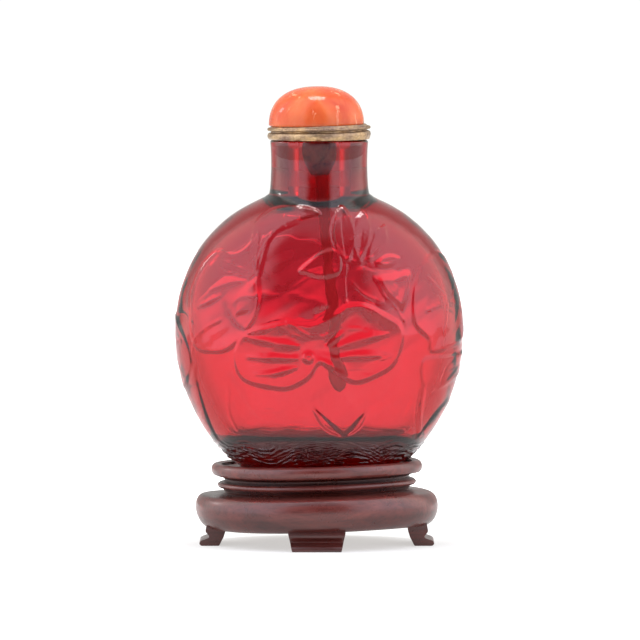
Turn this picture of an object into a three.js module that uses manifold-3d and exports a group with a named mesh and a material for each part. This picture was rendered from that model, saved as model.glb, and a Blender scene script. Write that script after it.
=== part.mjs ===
// A carved ruby glass snuff bottle with a domed stone stopper, standing on its own footed hardwood stand.
// Millimetres, +Z up. The origin is on the surface that the stand's feet rest on, under the middle of the stand.
// The bottle is a flattened flask that faces -Y, hollow, with a lotus pond carved in low relief all over its body.
import * as THREE from "three";
import { mergeVertices } from "three/addons/utils/BufferGeometryUtils.js";
import Module from "manifold-3d";

const wasm = await Module();
wasm.setup();

// ---------------------------------------------------------------- driving dimensions

// Glass body. Its ground is the surface that the relief stands on.
const FOOT_Z = 13.2; // the flat foot, in the stand's seat
const BELLY_Z = 36; // height of the widest section
const BELLY_HALF = { x: 24.4, y: 15.2 }; // half width and half depth of the ground there
const CROWN_RISE = 24.4; // from the belly up to where the ground would close
const BASE_DROP = 27.2; // from the belly down to where it would close
const SQUARENESS = 0.5; // how far a flat section departs from an ellipse; a round one stays round
const WIDE_POWER = { crown: 2.12, base: 2 }; // of the outline seen from the front
const DEEP_POWER = 2.6; // of the outline seen from the side, which has squarer shoulders
const NECK_R = 8.15;
const NECK_FLARE = 0.17; // how much wider the neck is at its lip than at its middle
const NECK_BLEND = 9; // how tightly the shoulder turns into the neck
const LIP_Z = 68.7;
const LIP_ROUND = 0.4;

// The hollow inside. It follows the outside down to its flat floor.
const HOLLOW_FLOOR_Z = 20.3;
const HOLLOW_ROUND = 1.2; // of the corner round its floor
const HOLLOW_Z = 38; // height of its widest section
const HOLLOW_HALF = { x: 21.6, y: 12.4 };
const HOLLOW_RISE = 20.2; // from there up to where it would close
const HOLLOW_DROP = 26.8; // from there down to where it would close
const BORE_R = 3.6;
const BORE_BLEND = 6;

// Relief, as heights over the ground.
const LEAF_H = 0.42;
const PETAL_H = 0.55;
const RIDGE_H = 0.7; // veins, stalks and curled lips
const WAVE_H = 0.35;
const VEIN_WIDTH = 0.6;

// Stopper.
const COLLAR_R = 8.8;
const SEATING_GAP = 0.05;
const COLLAR_H = 2.3;
const DOME_R = 8.1;
const DOME_H = 6.55;
const DOME_POWER = 2.3;
const DOME_SHIFT = -0.4; // the stone is set a little to the left in its collar
const CORK = { top: 2.95, tip: 1.5, straight: 2, length: 6.2 };
const STOPPER_TILT = 1.3; // its right side sits high
const SPOON = { length: 40, lean: 3.1, width: 2.2, thick: 0.9, bowlWidth: 2.9, bowlLength: 5.4 };
const SPOON_TANG = 3; // how far the spoon goes up into the cork
const TANG_GAP = 0.08;

// Stand. Its sections are ovals, and a profile point is how far it stands out from the rim's oval.
const RIM_HALF = { x: 17.95, y: 14.1 };
const SEAT_INSET = 1.75; // from the rim's oval in to the wall of the seat
const SEAT_ROUND = 0.25;
const SEAT_Z = FOOT_Z - 0.05;
const RIM_TOP_Z = 14.1;
const UNDERSIDE_Z = 3.1;
const SLANT = 0.03; // the mouldings rise a little to the right across the front, and come level at the ends
const TORUS_HALF_X = 20.6;
const FOOT_WIDTH = { top: 9.7, bottom: 8.3 };
const BOTTLE_SHIFT = 0.4; // the bottle stands a little to the right in its seat

const BODY_SIDES = 36;
const HOLLOW_SIDES = 18;
const STAND_SIDES = 36;
const LATHE_SIDES = 20;

// ---------------------------------------------------------------- geometry helpers

const superellipse = (share, power) => Math.max(0, 1 - Math.abs(share) ** power) ** (1 / power);
const blend = (p, q, power) => (p ** power + q ** power) ** (1 / power);
const radians = THREE.MathUtils.degToRad;

// A level section: points round a superellipse, spaced evenly along its edge.
function section(half, z, sides, squareness = SQUARENESS) {
  const power = 2 + squareness * (1 - half.y / half.x);
  const fine = 720;
  const at = (t) => {
    const c = Math.cos(t);
    const s = Math.sin(t);
    const reach = (Math.abs(c / half.x) ** power + Math.abs(s / half.y) ** power) ** (-1 / power);
    return new THREE.Vector3(c * reach, s * reach, z);
  };
  const around = Array.from({ length: fine + 1 }, (_, i) => at((i / fine) * 2 * Math.PI));
  const run = [0];
  for (let i = 1; i <= fine; i++) run.push(run[i - 1] + around[i].distanceTo(around[i - 1]));
  const points = [];
  for (let k = 0, i = 0; k < sides; k++) {
    const wanted = (k / sides) * run[fine];
    while (run[i + 1] < wanted) i++;
    const share = (wanted - run[i]) / (run[i + 1] - run[i]);
    points.push(around[i].clone().lerp(around[i + 1], share));
  }
  return points;
}

// A closed skin over a stack of sections, lowest first, with a flat fan over each end.
function stack(sections) {
  const sides = sections[0].length;
  const last = sections.length - 1;
  const middle = (ring) => ring.reduce((sum, p) => sum.add(p), new THREE.Vector3()).divideScalar(sides);
  const points = [...sections.flat(), middle(sections[0]), middle(sections[last])];
  const faces = [];
  for (let k = 0; k < sides; k++) {
    const next = (k + 1) % sides;
    for (let i = 0; i < last; i++) {
      const [a, b, c, d] = [i * sides + k, i * sides + next, (i + 1) * sides + next, (i + 1) * sides + k];
      faces.push(a, b, c, a, c, d);
    }
    faces.push(last * sides + k, last * sides + next, points.length - 1);
    faces.push(next, k, points.length - 2);
  }
  return new THREE.BufferGeometry().setFromPoints(points).setIndex(faces);
}

// A geometry as a solid that can be joined and cut.
function solid(geometry, matrix = new THREE.Matrix4()) {
  const bare = new THREE.BufferGeometry();
  bare.setAttribute("position", geometry.getAttribute("position").clone());
  bare.setIndex(geometry.index);
  const merged = mergeVertices(bare.applyMatrix4(matrix), 1e-4);
  const vertProperties = new Float32Array(merged.attributes.position.array);
  return new wasm.Manifold(
    new wasm.Mesh({ numProp: 3, vertProperties, triVerts: new Uint32Array(merged.index.array) }),
  );
}

function geometryOf(shape) {
  const mesh = shape.getMesh();
  const points = [];
  for (let i = 0; i < mesh.numVert; i++) {
    points.push(new THREE.Vector3(...mesh.vertProperties.subarray(i * mesh.numProp, i * mesh.numProp + 3)));
  }
  return new THREE.BufferGeometry().setFromPoints(points).setIndex(Array.from(mesh.triVerts));
}

const union = (shapes) => shapes.reduce((whole, shape) => whole.add(shape));

// A turned piece from its profile, given as [radius, height] pairs from the axis round to the axis.
function turned(profile, sides = LATHE_SIDES) {
  const points = profile.map(([r, z]) => new THREE.Vector2(r, z));
  return new THREE.LatheGeometry(points, sides).rotateX(Math.PI / 2);
}

// ---------------------------------------------------------------- glass body

// Half width and half depth of the body at a height, with the ground moved outwards by `out`.
function bodyHalf(z, out = 0) {
  const [reach, power] = z > BELLY_Z ? [CROWN_RISE, WIDE_POWER.crown] : [BASE_DROP, WIDE_POWER.base];
  const share = (z - BELLY_Z) / (reach + out);
  const flare = NECK_FLARE * ((z - (LIP_Z - 4)) / 4) ** 2;
  const neck = NECK_R + Math.min(flare, NECK_FLARE) - (out > 0 ? 0.1 : 0);
  return {
    x: blend((BELLY_HALF.x + out) * superellipse(share, power), neck, NECK_BLEND),
    y: blend((BELLY_HALF.y + out) * superellipse(share, DEEP_POWER), neck, NECK_BLEND),
  };
}

// Section heights that crowd where the outline turns quickly.
const BODY_LEVELS = [13.7, 15.4, 18, 21.6, 26.2, 31.4, 36.8, 42, 46.8, 50.8, 54, 56.4, 58.2, 60, 64.7];

function bodySkin(out = 0) {
  const rings = BODY_LEVELS.map((z) => section(bodyHalf(z, out), z, BODY_SIDES));
  const foot = bodyHalf(FOOT_Z + 0.2, out);
  const lip = bodyHalf(LIP_Z).x;
  const ring = (r, z) => section({ x: r, y: r }, z, BODY_SIDES);
  const footRing = section({ x: foot.x - 0.5, y: foot.y - 0.5 }, FOOT_Z + out, BODY_SIDES);
  const top = [ring(lip, LIP_Z - LIP_ROUND), ring(lip - LIP_ROUND, LIP_Z)];
  return solid(stack([footRing, ...rings, ...(out > 0 ? [] : top)]));
}

function hollow() {
  const half = (z) => {
    const [reach, power] = z > HOLLOW_Z ? [HOLLOW_RISE, WIDE_POWER.crown] : [HOLLOW_DROP, WIDE_POWER.base];
    const share = (z - HOLLOW_Z) / reach;
    const corner = HOLLOW_ROUND - Math.min(z - HOLLOW_FLOOR_Z, HOLLOW_ROUND);
    const inset = HOLLOW_ROUND - Math.sqrt(HOLLOW_ROUND ** 2 - corner ** 2);
    const wide = HOLLOW_HALF.x * superellipse(share, power) - inset;
    const deep = HOLLOW_HALF.y * superellipse(share, DEEP_POWER) - inset;
    return { x: blend(wide, BORE_R, BORE_BLEND), y: blend(deep, BORE_R, BORE_BLEND) };
  };
  const floor = [0, 0.35, 1].map((share) => HOLLOW_FLOOR_Z + share * HOLLOW_ROUND);
  const levels = [...floor, 28, 38, 45.4, 51.2, 55.2, 57.8, 59.4, 61.2];
  const rings = levels.map((z) => section(half(z), z, HOLLOW_SIDES));
  return solid(stack([...rings, section({ x: BORE_R, y: BORE_R }, LIP_Z + 1, HOLLOW_SIDES)]));
}

// ---------------------------------------------------------------- relief drawing
// A motif is drawn flat, in millimetres: u to the right and v up, with v the height in the part. It is then carved
// into the side of the body that `turn` names, in degrees: 0 is the front, 90 the right side and 180 the back.

// A smooth closed or open line through a few points.
function smooth(points, count, closed = false) {
  const path = points.map(([u, v]) => new THREE.Vector3(u, v, 0));
  const curve = new THREE.CatmullRomCurve3(path, closed, "centripetal");
  const line = curve.getSpacedPoints(count).map((p) => [p.x, p.y]);
  return closed ? line.slice(0, -1) : line;
}

// The outline of a band along a line. Its width follows `taper` over the share of the length.
function band(line, width, taper = () => 1) {
  const left = [];
  const right = [];
  line.forEach(([u, v], i) => {
    const [pu, pv] = line[Math.max(i - 1, 0)];
    const [nu, nv] = line[Math.min(i + 1, line.length - 1)];
    const length = Math.hypot(nu - pu, nv - pv);
    const half = (width / 2) * taper(i / (line.length - 1));
    const [du, dv] = [(-(nv - pv) / length) * half, ((nu - pu) / length) * half];
    left.push([u + du, v + dv]);
    right.unshift([u - du, v - dv]);
  });
  return [...left, ...right];
}

const spindle = (share) => Math.max(0.12, Math.sin(Math.PI * share) ** 0.7);
const stalkTaper = (share) => 1 - 0.25 * share;

// A leaf: a smooth outline, and straight veins from its hub to the points named.
function leaf({ outline, hub, veins, turn = 0 }) {
  const count = Math.round(outline.length * 1.1);
  const ribs = veins.map((end) => {
    const start = [0, 1].map((i) => THREE.MathUtils.lerp(hub[i], end[i], 0.12));
    return { outline: band([start, end], VEIN_WIDTH), height: RIDGE_H, turn };
  });
  return [{ outline: smooth(outline, count, true), height: LEAF_H, turn }, ...ribs];
}

// A petal or blade: a spindle from its base to its tip, bowed to the left by `bow`.
function petal({ base, tip, width, bow = 0, turn = 0, height = PETAL_H }) {
  const [du, dv] = [tip[0] - base[0], tip[1] - base[1]];
  const length = Math.hypot(du, dv);
  const middle = [(base[0] + tip[0]) / 2 - (dv / length) * bow, (base[1] + tip[1]) / 2 + (du / length) * bow];
  return [{ outline: band(smooth([base, middle, tip], 5), width, spindle), height, turn }];
}

// A stalk, or a curled lip, along a line of a few points.
function stalk({ line, width, turn = 0 }) {
  return [{ outline: band(smooth(line, line.length), width, stalkTaper), height: RIDGE_H, turn }];
}

// The water at the foot: a band with a row of round crests along its top.
function waves({ halfWidth, top, crest, count, turn }) {
  const edge = [];
  for (let i = 0; i <= count * 3; i++) {
    const share = i / (count * 3);
    edge.push([halfWidth * (1 - 2 * share), top + crest * Math.abs(Math.sin(Math.PI * share * count))]);
  }
  return [{ outline: [[-halfWidth, FOOT_Z - 1], [halfWidth, FOOT_Z - 1], ...edge], height: WAVE_H, turn }];
}

const RELIEF = [
  // Front: the tall leaf at the upper left. Its right lobe reaches up under the neck, and its left one hangs.
  ...leaf({
    outline: [[1, 57], [-3.3, 58], [-7.8, 57.2], [-11.2, 55], [-11.8, 52], [-14.9, 50.2], [-17.4, 50.4],
      [-20.6, 46.8], [-21.9, 41], [-21.2, 34.3], [-17.6, 33.2], [-14.4, 34.6], [-11.2, 38.4], [-9.7, 42],
      [-9.4, 48], [-8, 52.4], [-4.9, 54.8]],
    hub: [-10.6, 45.6],
    veins: [[-9.4, 54.6], [-10.8, 52.6], [-17, 48.4], [-18.4, 43.6], [-19.6, 39.8], [-14, 37.2]],
  }),
  ...stalk({ line: [[-10.2, 46.4], [-9, 50.4], [-6.6, 54], [-1.4, 56.4]], width: 1 }),
  // Front: the open leaf in the middle, like a bow, with a curled lip over its hub.
  ...leaf({
    outline: [[-13.8, 34.8], [-11.4, 37], [-5.8, 38.9], [-0.7, 38.5], [2.6, 39.9], [5.4, 41.4], [8.6, 41.4],
      [12.4, 39.2], [14.2, 37.2], [13.2, 33.2], [10.6, 30], [6.4, 28.6], [0, 31.2], [-2.4, 28.6], [-8.5, 27.5],
      [-12.8, 29], [-14.6, 32]],
    hub: [-1, 33.4],
    veins: [[-12, 34.2], [-12, 31.4], [-9.4, 29.4], [8.8, 37], [11.4, 34], [8.6, 31]],
  }),
  ...stalk({ line: [[-5.8, 38.7], [-3.4, 36.9], [-0.6, 36], [1.6, 36.8], [3.2, 38.8]], width: 1.1 }),
  // Front: the lotus flower at the upper right, the leaf that points at it, and its stalk.
  ...petal({ base: [4.6, 48.6], tip: [2.9, 56.8], width: 3.4, bow: 0.8 }),
  ...petal({ base: [6, 48.8], tip: [7.1, 57.3], width: 2.8 }),
  ...petal({ base: [7, 48.8], tip: [9.4, 56.2], width: 2.6 }),
  ...petal({ base: [8, 48.6], tip: [11, 54.6], width: 2.6, bow: -0.7 }),
  ...petal({ base: [8.2, 48.2], tip: [13.4, 48.6], width: 1.9, bow: -0.2 }),
  ...petal({ base: [3.2, 48.2], tip: [-3.2, 47.8], width: 4.4, height: LEAF_H }),
  ...stalk({ line: [[4.2, 47.8], [4, 44.8], [4.4, 41.6]], width: 1.2 }),
  ...leaf({
    outline: [[5.6, 46], [9.4, 46.6], [13.6, 46.4], [12.9, 43.5], [14.3, 39.8], [10.6, 41.8], [7, 43.4]],
    hub: [6, 45.4],
    veins: [[12.4, 45.2], [12.6, 41.6]],
  }),
  // Right side: a broad leaf that wraps round the edge, a smaller one under it, and its stalk.
  ...leaf({
    outline: [[5, 48.6], [1.6, 45.4], [0.8, 41.5], [2.4, 37.4], [7, 34.8], [13, 35], [17.6, 38], [18.6, 43],
      [15, 48], [9.6, 50.2]],
    hub: [8.6, 42],
    veins: [[4, 46.6], [2.6, 40.4], [7, 36.6], [15.4, 39.4]],
    turn: 50,
  }),
  ...leaf({
    outline: [[2.5, 31.8], [6, 33.2], [11, 32.4], [17, 33.2], [18, 29.8], [11.6, 27.2], [6.6, 26.4],
      [3.4, 28]],
    hub: [5, 29.8],
    veins: [[15.6, 31]],
    turn: 50,
  }),
  ...stalk({ line: [[17, 27], [16.8, 23.6], [16.3, 19]], width: 1.2 }),
  // Left side: a leaf that wraps round the edge, a blade that rises beside it, and a short stalk.
  ...leaf({
    outline: [[7.6, 31], [6.6, 35.6], [2, 39], [-4, 39.2], [-8.4, 35], [-7, 29.4], [-2, 26.4], [4, 27.2]],
    hub: [-0.6, 33],
    veins: [[-5.4, 36.2]],
    turn: -90,
  }),
  ...petal({ base: [-6.6, 18], tip: [-9.6, 35], width: 4.2, bow: 1.6, turn: -45, height: LEAF_H }),
  ...stalk({ line: [[-15.3, 26.4], [-15.2, 23], [-13.8, 20]], width: 1 }),
  // Front, low down: a sprout out of the water.
  ...petal({ base: [4.4, 19.2], tip: [-1.3, 24.4], width: 1.5, bow: 0.4 }),
  ...petal({ base: [4.6, 19.3], tip: [6.8, 22.8], width: 1.3, bow: -0.3 }),
  // Back: one broad leaf on its stalk, a bud on another, and a blade.
  ...leaf({
    outline: [[13.6, 50.4], [6, 52.6], [-2, 49.8], [-4.8, 43.4], [-2.6, 37], [3.4, 34], [8, 36.4], [11.6, 34.6],
      [16.4, 39], [17, 45.6]],
    hub: [5.6, 42],
    veins: [[12, 48.8], [5.6, 50.4], [-1.6, 46], [-1.2, 39], [14.6, 41]],
    turn: 180,
  }),
  ...stalk({ line: [[5.4, 34.4], [4.6, 28], [6, 19]], width: 1.2, turn: 180 }),
  ...petal({ base: [-9.6, 38], tip: [-9, 48], width: 5, bow: 0.6, turn: 180 }),
  ...stalk({ line: [[-9.6, 38.2], [-10.6, 29], [-8.4, 19]], width: 1.2, turn: 180 }),
  ...petal({ base: [-2, 18], tip: [-3.4, 33], width: 3, bow: -1, turn: 180, height: LEAF_H }),
  // All round the foot: the water.
  ...waves({ halfWidth: 15, top: 16.8, crest: 1.2, count: 5, turn: 0 }),
  ...waves({ halfWidth: 15, top: 16.8, crest: 1.2, count: 5, turn: 180 }),
];

// A motif as a solid: its outline pushed straight out, from just behind the body's axis up to its own height over
// the ground.
const BEHIND_AXIS = 0.4;
const skins = new Map();
function carved({ outline, height, turn }) {
  if (!skins.has(height)) skins.set(height, bodySkin(height));
  const shape = new THREE.Shape(outline.map(([u, v]) => new THREE.Vector2(u, v)));
  const block = new THREE.ExtrudeGeometry(shape, { depth: 2 * BELLY_HALF.x, bevelEnabled: false });
  block.translate(0, 0, -BEHIND_AXIS);
  const angle = radians(turn);
  const across = new THREE.Vector3(Math.cos(angle), Math.sin(angle), 0);
  const outwards = new THREE.Vector3(Math.sin(angle), -Math.cos(angle), 0);
  const placed = new THREE.Matrix4().makeBasis(across, new THREE.Vector3(0, 0, 1), outwards);
  return solid(block, placed).intersect(skins.get(height));
}

function bottle() {
  return geometryOf(union([bodySkin(), ...RELIEF.map(carved)]).subtract(hollow()));
}

// ---------------------------------------------------------------- stopper

function dome() {
  const steps = 7;
  const profile = [[0, 0]];
  for (let i = 0; i <= steps; i++) {
    const height = Math.sin((i / steps) * (Math.PI / 2)) ** 1.2;
    profile.push([i === steps ? 0 : DOME_R * superellipse(height, DOME_POWER), DOME_H * height]);
  }
  return turned(profile);
}

// A flange that sits on the lip, a groove, and a round wire that holds the stone.
function collar() {
  const r = COLLAR_R;
  const h = COLLAR_H;
  return turned([[0, 0], [r - 0.5, 0], [r - 0.1, 0.25], [r, 0.7], [r - 0.2, 1.1], [r - 0.5, 1.2],
    [r - 0.5, 1.35], [r - 0.25, 1.5], [r - 0.25, 1.95], [r - 0.55, h], [0, h]]);
}

// Straight for a little way, then rounded in to its tip.
function cork(tang) {
  const steps = 4;
  const profile = [[0, -CORK.length]];
  for (let i = steps; i >= 0; i--) {
    const share = i / steps;
    const r = CORK.tip + (CORK.top - CORK.tip) * Math.cos((share * Math.PI) / 2);
    profile.push([r, -CORK.straight - (CORK.length - CORK.straight) * share]);
  }
  return geometryOf(solid(turned([...profile, [CORK.top, -0.02], [0, -0.02]])).subtract(tang));
}

// The spoon hangs down from its own top, which is in the cork: a flat shaft with a shallow bowl at its end.
function spoon(extra = 0) {
  const flat = new THREE.Matrix4().makeScale(1, SPOON.thick / SPOON.width, 1);
  const half = SPOON.width / 2 + extra;
  const shaft = solid(turned([[0, -SPOON.length + 3], [half * 0.8, -SPOON.length + 3], [half, -SPOON_TANG],
    [half, extra], [0, extra]], 12), flat);
  if (extra) return shaft;
  const oval = (wide, thick, long, y) => {
    const size = new THREE.Matrix4().makeScale(wide / 2, thick / 2, long / 2);
    const place = new THREE.Matrix4().makeTranslation(0, y, -SPOON.length + SPOON.bowlLength / 2);
    return solid(new THREE.SphereGeometry(1, 12, 6).rotateX(Math.PI / 2), place.multiply(size));
  };
  const blade = oval(SPOON.bowlWidth, SPOON.thick, SPOON.bowlLength, 0);
  const dish = oval(SPOON.bowlWidth - 0.6, SPOON.thick, SPOON.bowlLength - 1.2, -SPOON.thick * 0.45);
  return shaft.add(blade).subtract(dish);
}

// ---------------------------------------------------------------- stand

// Down the outside: a half-round rim, a groove, a bead, a cove, and a full round moulding. Each pair is how far the
// point stands out from the rim's oval, and its height.
const MOULDING = [[-1, RIM_TOP_Z], [-0.25, 13.85], [0, 13], [-0.3, 12.25], [-1.8, 11.2],
  [-1, 10.7], [-1.05, 10.15], [-1.75, 9.8], [-1.6, 9.1], [1.1, 8.8], [2.2, 8.1],
  [2.65, 6.7], [2.4, 5.2], [1.6, 3.9], [0.3, UNDERSIDE_Z]];

function stand() {
  const oval = ([out, z]) => section({ x: RIM_HALF.x + out, y: RIM_HALF.y + out }, z, STAND_SIDES, 0);
  const slant = (x) => SLANT * x * (1 - (x / TORUS_HALF_X) ** 4);
  const slanted = (point) => oval(point).map((p) => p.setZ(p.z + slant(p.x)));
  const rimInside = [[SEAT_ROUND - SEAT_INSET, RIM_TOP_Z], [-SEAT_INSET, RIM_TOP_Z - SEAT_ROUND]];
  const outside = [...MOULDING].reverse();
  const block = stack([...[...outside, ...rimInside].map(slanted), oval([-SEAT_INSET, SEAT_Z])]);
  return geometryOf(union([solid(block), ...[0, 90, 180, 270].map(foot)]));
}

// A foot seen from the side: how far out from the rim's oval, and how high. It curls out to a toe.
const FOOT_OUTSIDE = [[0.7, 4.4], [0.8, 3], [0.95, 2.6], [0.8, 2.1], [0.25, 1.5], [0.3, 1.1], [1.2, 0.85],
  [1.9, 0.7], [2, 0.35], [1.8, 0]];
const FOOT_INSIDE = [[-1.35, 0], [-1.7, 0.6], [-2.2, 1.6], [-2.6, 3], [-2.6, 4.4]];

function foot(turn) {
  const profile = [...FOOT_OUTSIDE, ...FOOT_INSIDE].map(([out, z]) => new THREE.Vector2(out, z));
  const shape = new THREE.Shape(profile);
  const slab = new THREE.ExtrudeGeometry(shape, { depth: 1, bevelEnabled: false }).translate(0, 0, -0.5);
  const at = slab.getAttribute("position");
  for (let i = 0; i < at.count; i++) {
    const share = Math.min(at.getY(i) / UNDERSIDE_Z, 1);
    at.setZ(i, at.getZ(i) * THREE.MathUtils.lerp(FOOT_WIDTH.bottom, FOOT_WIDTH.top, share));
  }
  const onSide = turn % 180 === 90;
  const reach = onSide ? RIM_HALF.x : RIM_HALF.y;
  const angle = radians(turn);
  const outwards = new THREE.Vector3(Math.sin(angle), -Math.cos(angle), 0);
  const across = new THREE.Vector3(-outwards.y, outwards.x, 0).negate();
  const placed = new THREE.Matrix4().makeBasis(outwards, new THREE.Vector3(0, 0, 1), across);
  return solid(slab, placed.setPosition(outwards.clone().multiplyScalar(reach)));
}

// ---------------------------------------------------------------- assembly

const MATERIALS = {
  ruby_glass: new THREE.MeshStandardMaterial({
    color: 0x9c1020, roughness: 0.05, metalness: 0, transparent: true, opacity: 0.6,
  }),
  carnelian: new THREE.MeshStandardMaterial({ color: 0xe8693a, roughness: 0.15, metalness: 0 }),
  gilt: new THREE.MeshStandardMaterial({ color: 0xa3875a, roughness: 0.42, metalness: 1 }),
  cork: new THREE.MeshStandardMaterial({ color: 0x8a6a48, roughness: 0.9, metalness: 0 }),
  bone: new THREE.MeshStandardMaterial({ color: 0xcdbf9f, roughness: 0.55, metalness: 0 }),
  hardwood: new THREE.MeshStandardMaterial({ color: 0x5c2a22, roughness: 0.3, metalness: 0 }),
};

function piece(name, geometry, material) {
  const mesh = new THREE.Mesh(geometry, MATERIALS[material]);
  mesh.name = name;
  return mesh;
}

const lean = new THREE.Matrix4().makeRotationY(radians(-SPOON.lean));
const spoonTop = new THREE.Vector3(0.1, 0, -CORK.length + SPOON_TANG);
const tang = spoon(TANG_GAP).transform(lean.clone().setPosition(spoonTop).toArray());

const spoonPiece = piece("stopper_spoon", geometryOf(spoon()), "bone");
spoonPiece.position.copy(spoonTop);
spoonPiece.rotation.y = radians(-SPOON.lean);
const domePiece = piece("stopper_dome", dome(), "carnelian");
domePiece.position.set(DOME_SHIFT, 0, COLLAR_H + 0.02);

const collarPiece = piece("stopper_collar", collar(), "gilt");
const corkPiece = piece("stopper_cork", cork(tang), "cork");
const stopper = new THREE.Group();
stopper.add(collarPiece, corkPiece, spoonPiece, domePiece);
stopper.position.z = LIP_Z + SEATING_GAP + NECK_R * Math.sin(radians(STOPPER_TILT));
stopper.rotation.y = radians(-STOPPER_TILT);

const stoppedBottle = new THREE.Group();
stoppedBottle.add(piece("bottle", bottle(), "ruby_glass"), stopper);
stoppedBottle.position.x = BOTTLE_SHIFT;
const snuffBottle = new THREE.Group();
snuffBottle.add(stoppedBottle, piece("stand", stand(), "hardwood"));

export default snuffBottle;
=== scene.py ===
# A carved ruby glass snuff bottle with a domed carnelian stopper, on its own footed hardwood stand.
# Shapes are drawn in the part's own frame, in millimetres, and MM turns them into metres.
import math

import bpy
import numpy as np
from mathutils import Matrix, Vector


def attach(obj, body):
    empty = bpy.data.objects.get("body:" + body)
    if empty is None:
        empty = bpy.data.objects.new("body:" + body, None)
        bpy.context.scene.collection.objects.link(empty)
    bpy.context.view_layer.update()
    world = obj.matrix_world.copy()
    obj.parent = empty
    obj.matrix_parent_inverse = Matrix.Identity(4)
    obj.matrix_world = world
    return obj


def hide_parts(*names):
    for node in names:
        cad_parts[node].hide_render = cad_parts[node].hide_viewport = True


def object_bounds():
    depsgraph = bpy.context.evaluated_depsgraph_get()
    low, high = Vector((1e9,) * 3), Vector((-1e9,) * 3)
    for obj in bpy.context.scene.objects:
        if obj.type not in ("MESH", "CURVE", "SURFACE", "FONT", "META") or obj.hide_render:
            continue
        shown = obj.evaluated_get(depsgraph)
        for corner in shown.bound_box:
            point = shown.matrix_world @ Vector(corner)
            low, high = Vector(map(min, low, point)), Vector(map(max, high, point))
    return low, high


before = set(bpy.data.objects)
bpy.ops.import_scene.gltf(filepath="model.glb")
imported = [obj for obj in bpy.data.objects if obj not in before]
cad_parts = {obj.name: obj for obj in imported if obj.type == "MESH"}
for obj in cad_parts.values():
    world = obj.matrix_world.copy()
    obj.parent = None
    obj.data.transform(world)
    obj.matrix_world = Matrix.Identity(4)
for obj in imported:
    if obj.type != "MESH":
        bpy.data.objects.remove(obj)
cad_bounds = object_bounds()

MM = 0.001
scene = bpy.context.scene


# ------------------------------------------------------------------ modelling helpers

def deselect_all():
    if bpy.context.object and bpy.context.object.mode != "OBJECT":
        bpy.ops.object.mode_set(mode="OBJECT")
    bpy.ops.object.select_all(action="DESELECT")


def only(piece):
    """Makes one piece the active and only selected object."""
    deselect_all()
    piece.select_set(True)
    bpy.context.view_layer.objects.active = piece


def points_of(piece):
    """A mesh's vertices as an array of millimetres."""
    flat = np.zeros(len(piece.data.vertices) * 3)
    piece.data.vertices.foreach_get("co", flat)
    return flat.reshape(-1, 3) / MM


def place_points(piece, points):
    piece.data.vertices.foreach_set("co", (points * MM).ravel())
    piece.data.update()


def apply_place(piece):
    only(piece)
    bpy.ops.object.transform_apply(location=True, rotation=True, scale=True)


def apply_modifier(piece, kind, **settings):
    only(piece)
    modifier = piece.modifiers.new(kind.lower(), kind)
    for key, value in settings.items():
        setattr(modifier, key, value)
    bpy.ops.object.modifier_apply(modifier=modifier.name)


def smooth(piece, degrees=40):
    only(piece)
    bpy.ops.object.shade_smooth_by_angle(angle=math.radians(degrees))


def edit_all():
    bpy.ops.object.mode_set(mode="EDIT")
    bpy.ops.mesh.select_all(action="SELECT")


def outward(piece):
    only(piece)
    edit_all()
    bpy.ops.mesh.normals_make_consistent(inside=False)
    bpy.ops.object.mode_set(mode="OBJECT")


def draw_up(name, rings, sides):
    """A closed form drawn up ring by ring from a disc. A ring is (half width, half depth, height) in mm;
    a last ring of no size closes to a point."""
    deselect_all()
    wide, deep, low = rings[0]
    bpy.ops.mesh.primitive_circle_add(vertices=sides, radius=MM, fill_type="NGON", location=(0, 0, low * MM))
    piece = bpy.context.object
    piece.name = name
    piece.scale = (wide, deep, 1)
    apply_place(piece)
    edit_all()
    for next_wide, next_deep, high in rings[1:]:
        bpy.ops.mesh.extrude_region_move(TRANSFORM_OT_translate={"value": (0, 0, (high - low) * MM)})
        if next_wide > 0:
            factors = (next_wide / wide, next_deep / deep, 1)
            bpy.ops.transform.resize(value=factors, center_override=(0, 0, high * MM))
            wide, deep = next_wide, next_deep
        else:
            bpy.ops.mesh.merge(type="CENTER")
        low = high
    bpy.ops.object.mode_set(mode="OBJECT")
    outward(piece)
    return piece


def join(pieces, name):
    only(pieces[0])
    for piece in pieces[1:]:
        piece.select_set(True)
    bpy.ops.object.join()
    pieces[0].name = name
    return pieces[0]


def superellipse(share, power):
    return np.maximum(0, 1 - np.abs(share) ** power) ** (1 / power)


def blend(p, q, power):
    return (p ** power + q ** power) ** (1 / power)


def curve_through(points, closed=False, steps=8):
    """A smooth line through a few points (Catmull and Rom's)."""
    p = np.array(points, float)
    before = np.roll(p, 1, 0) if closed else np.vstack([2 * p[:1] - p[1:2], p[:-1]])
    after = np.roll(p, -1, 0) if closed else np.vstack([p[1:], 2 * p[-1:] - p[-2:-1]])
    later = np.roll(after, -1, 0) if closed else np.vstack([after[1:], 2 * after[-1:] - p[-1:]])
    spans = len(p) if closed else len(p) - 1
    t = np.linspace(0, 1, steps, endpoint=False)[None, :, None]
    a, b, c, d = (q[:spans, None, :] for q in (before, p, after, later))
    curve = (2 * a - 5 * b + 4 * c - d) * t ** 2 + (3 * b - a - 3 * c + d) * t ** 3
    line = 0.5 * (2 * b + (c - a) * t + curve)
    line = line.reshape(-1, 2)
    return line if closed else np.vstack([line, p[-1:]])


def smoothstep(low, high, x):
    t = np.clip((x - low) / (high - low), 0, 1)
    return t * t * (3 - 2 * t)


# ------------------------------------------------------------------ glass body: its plain form

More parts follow.
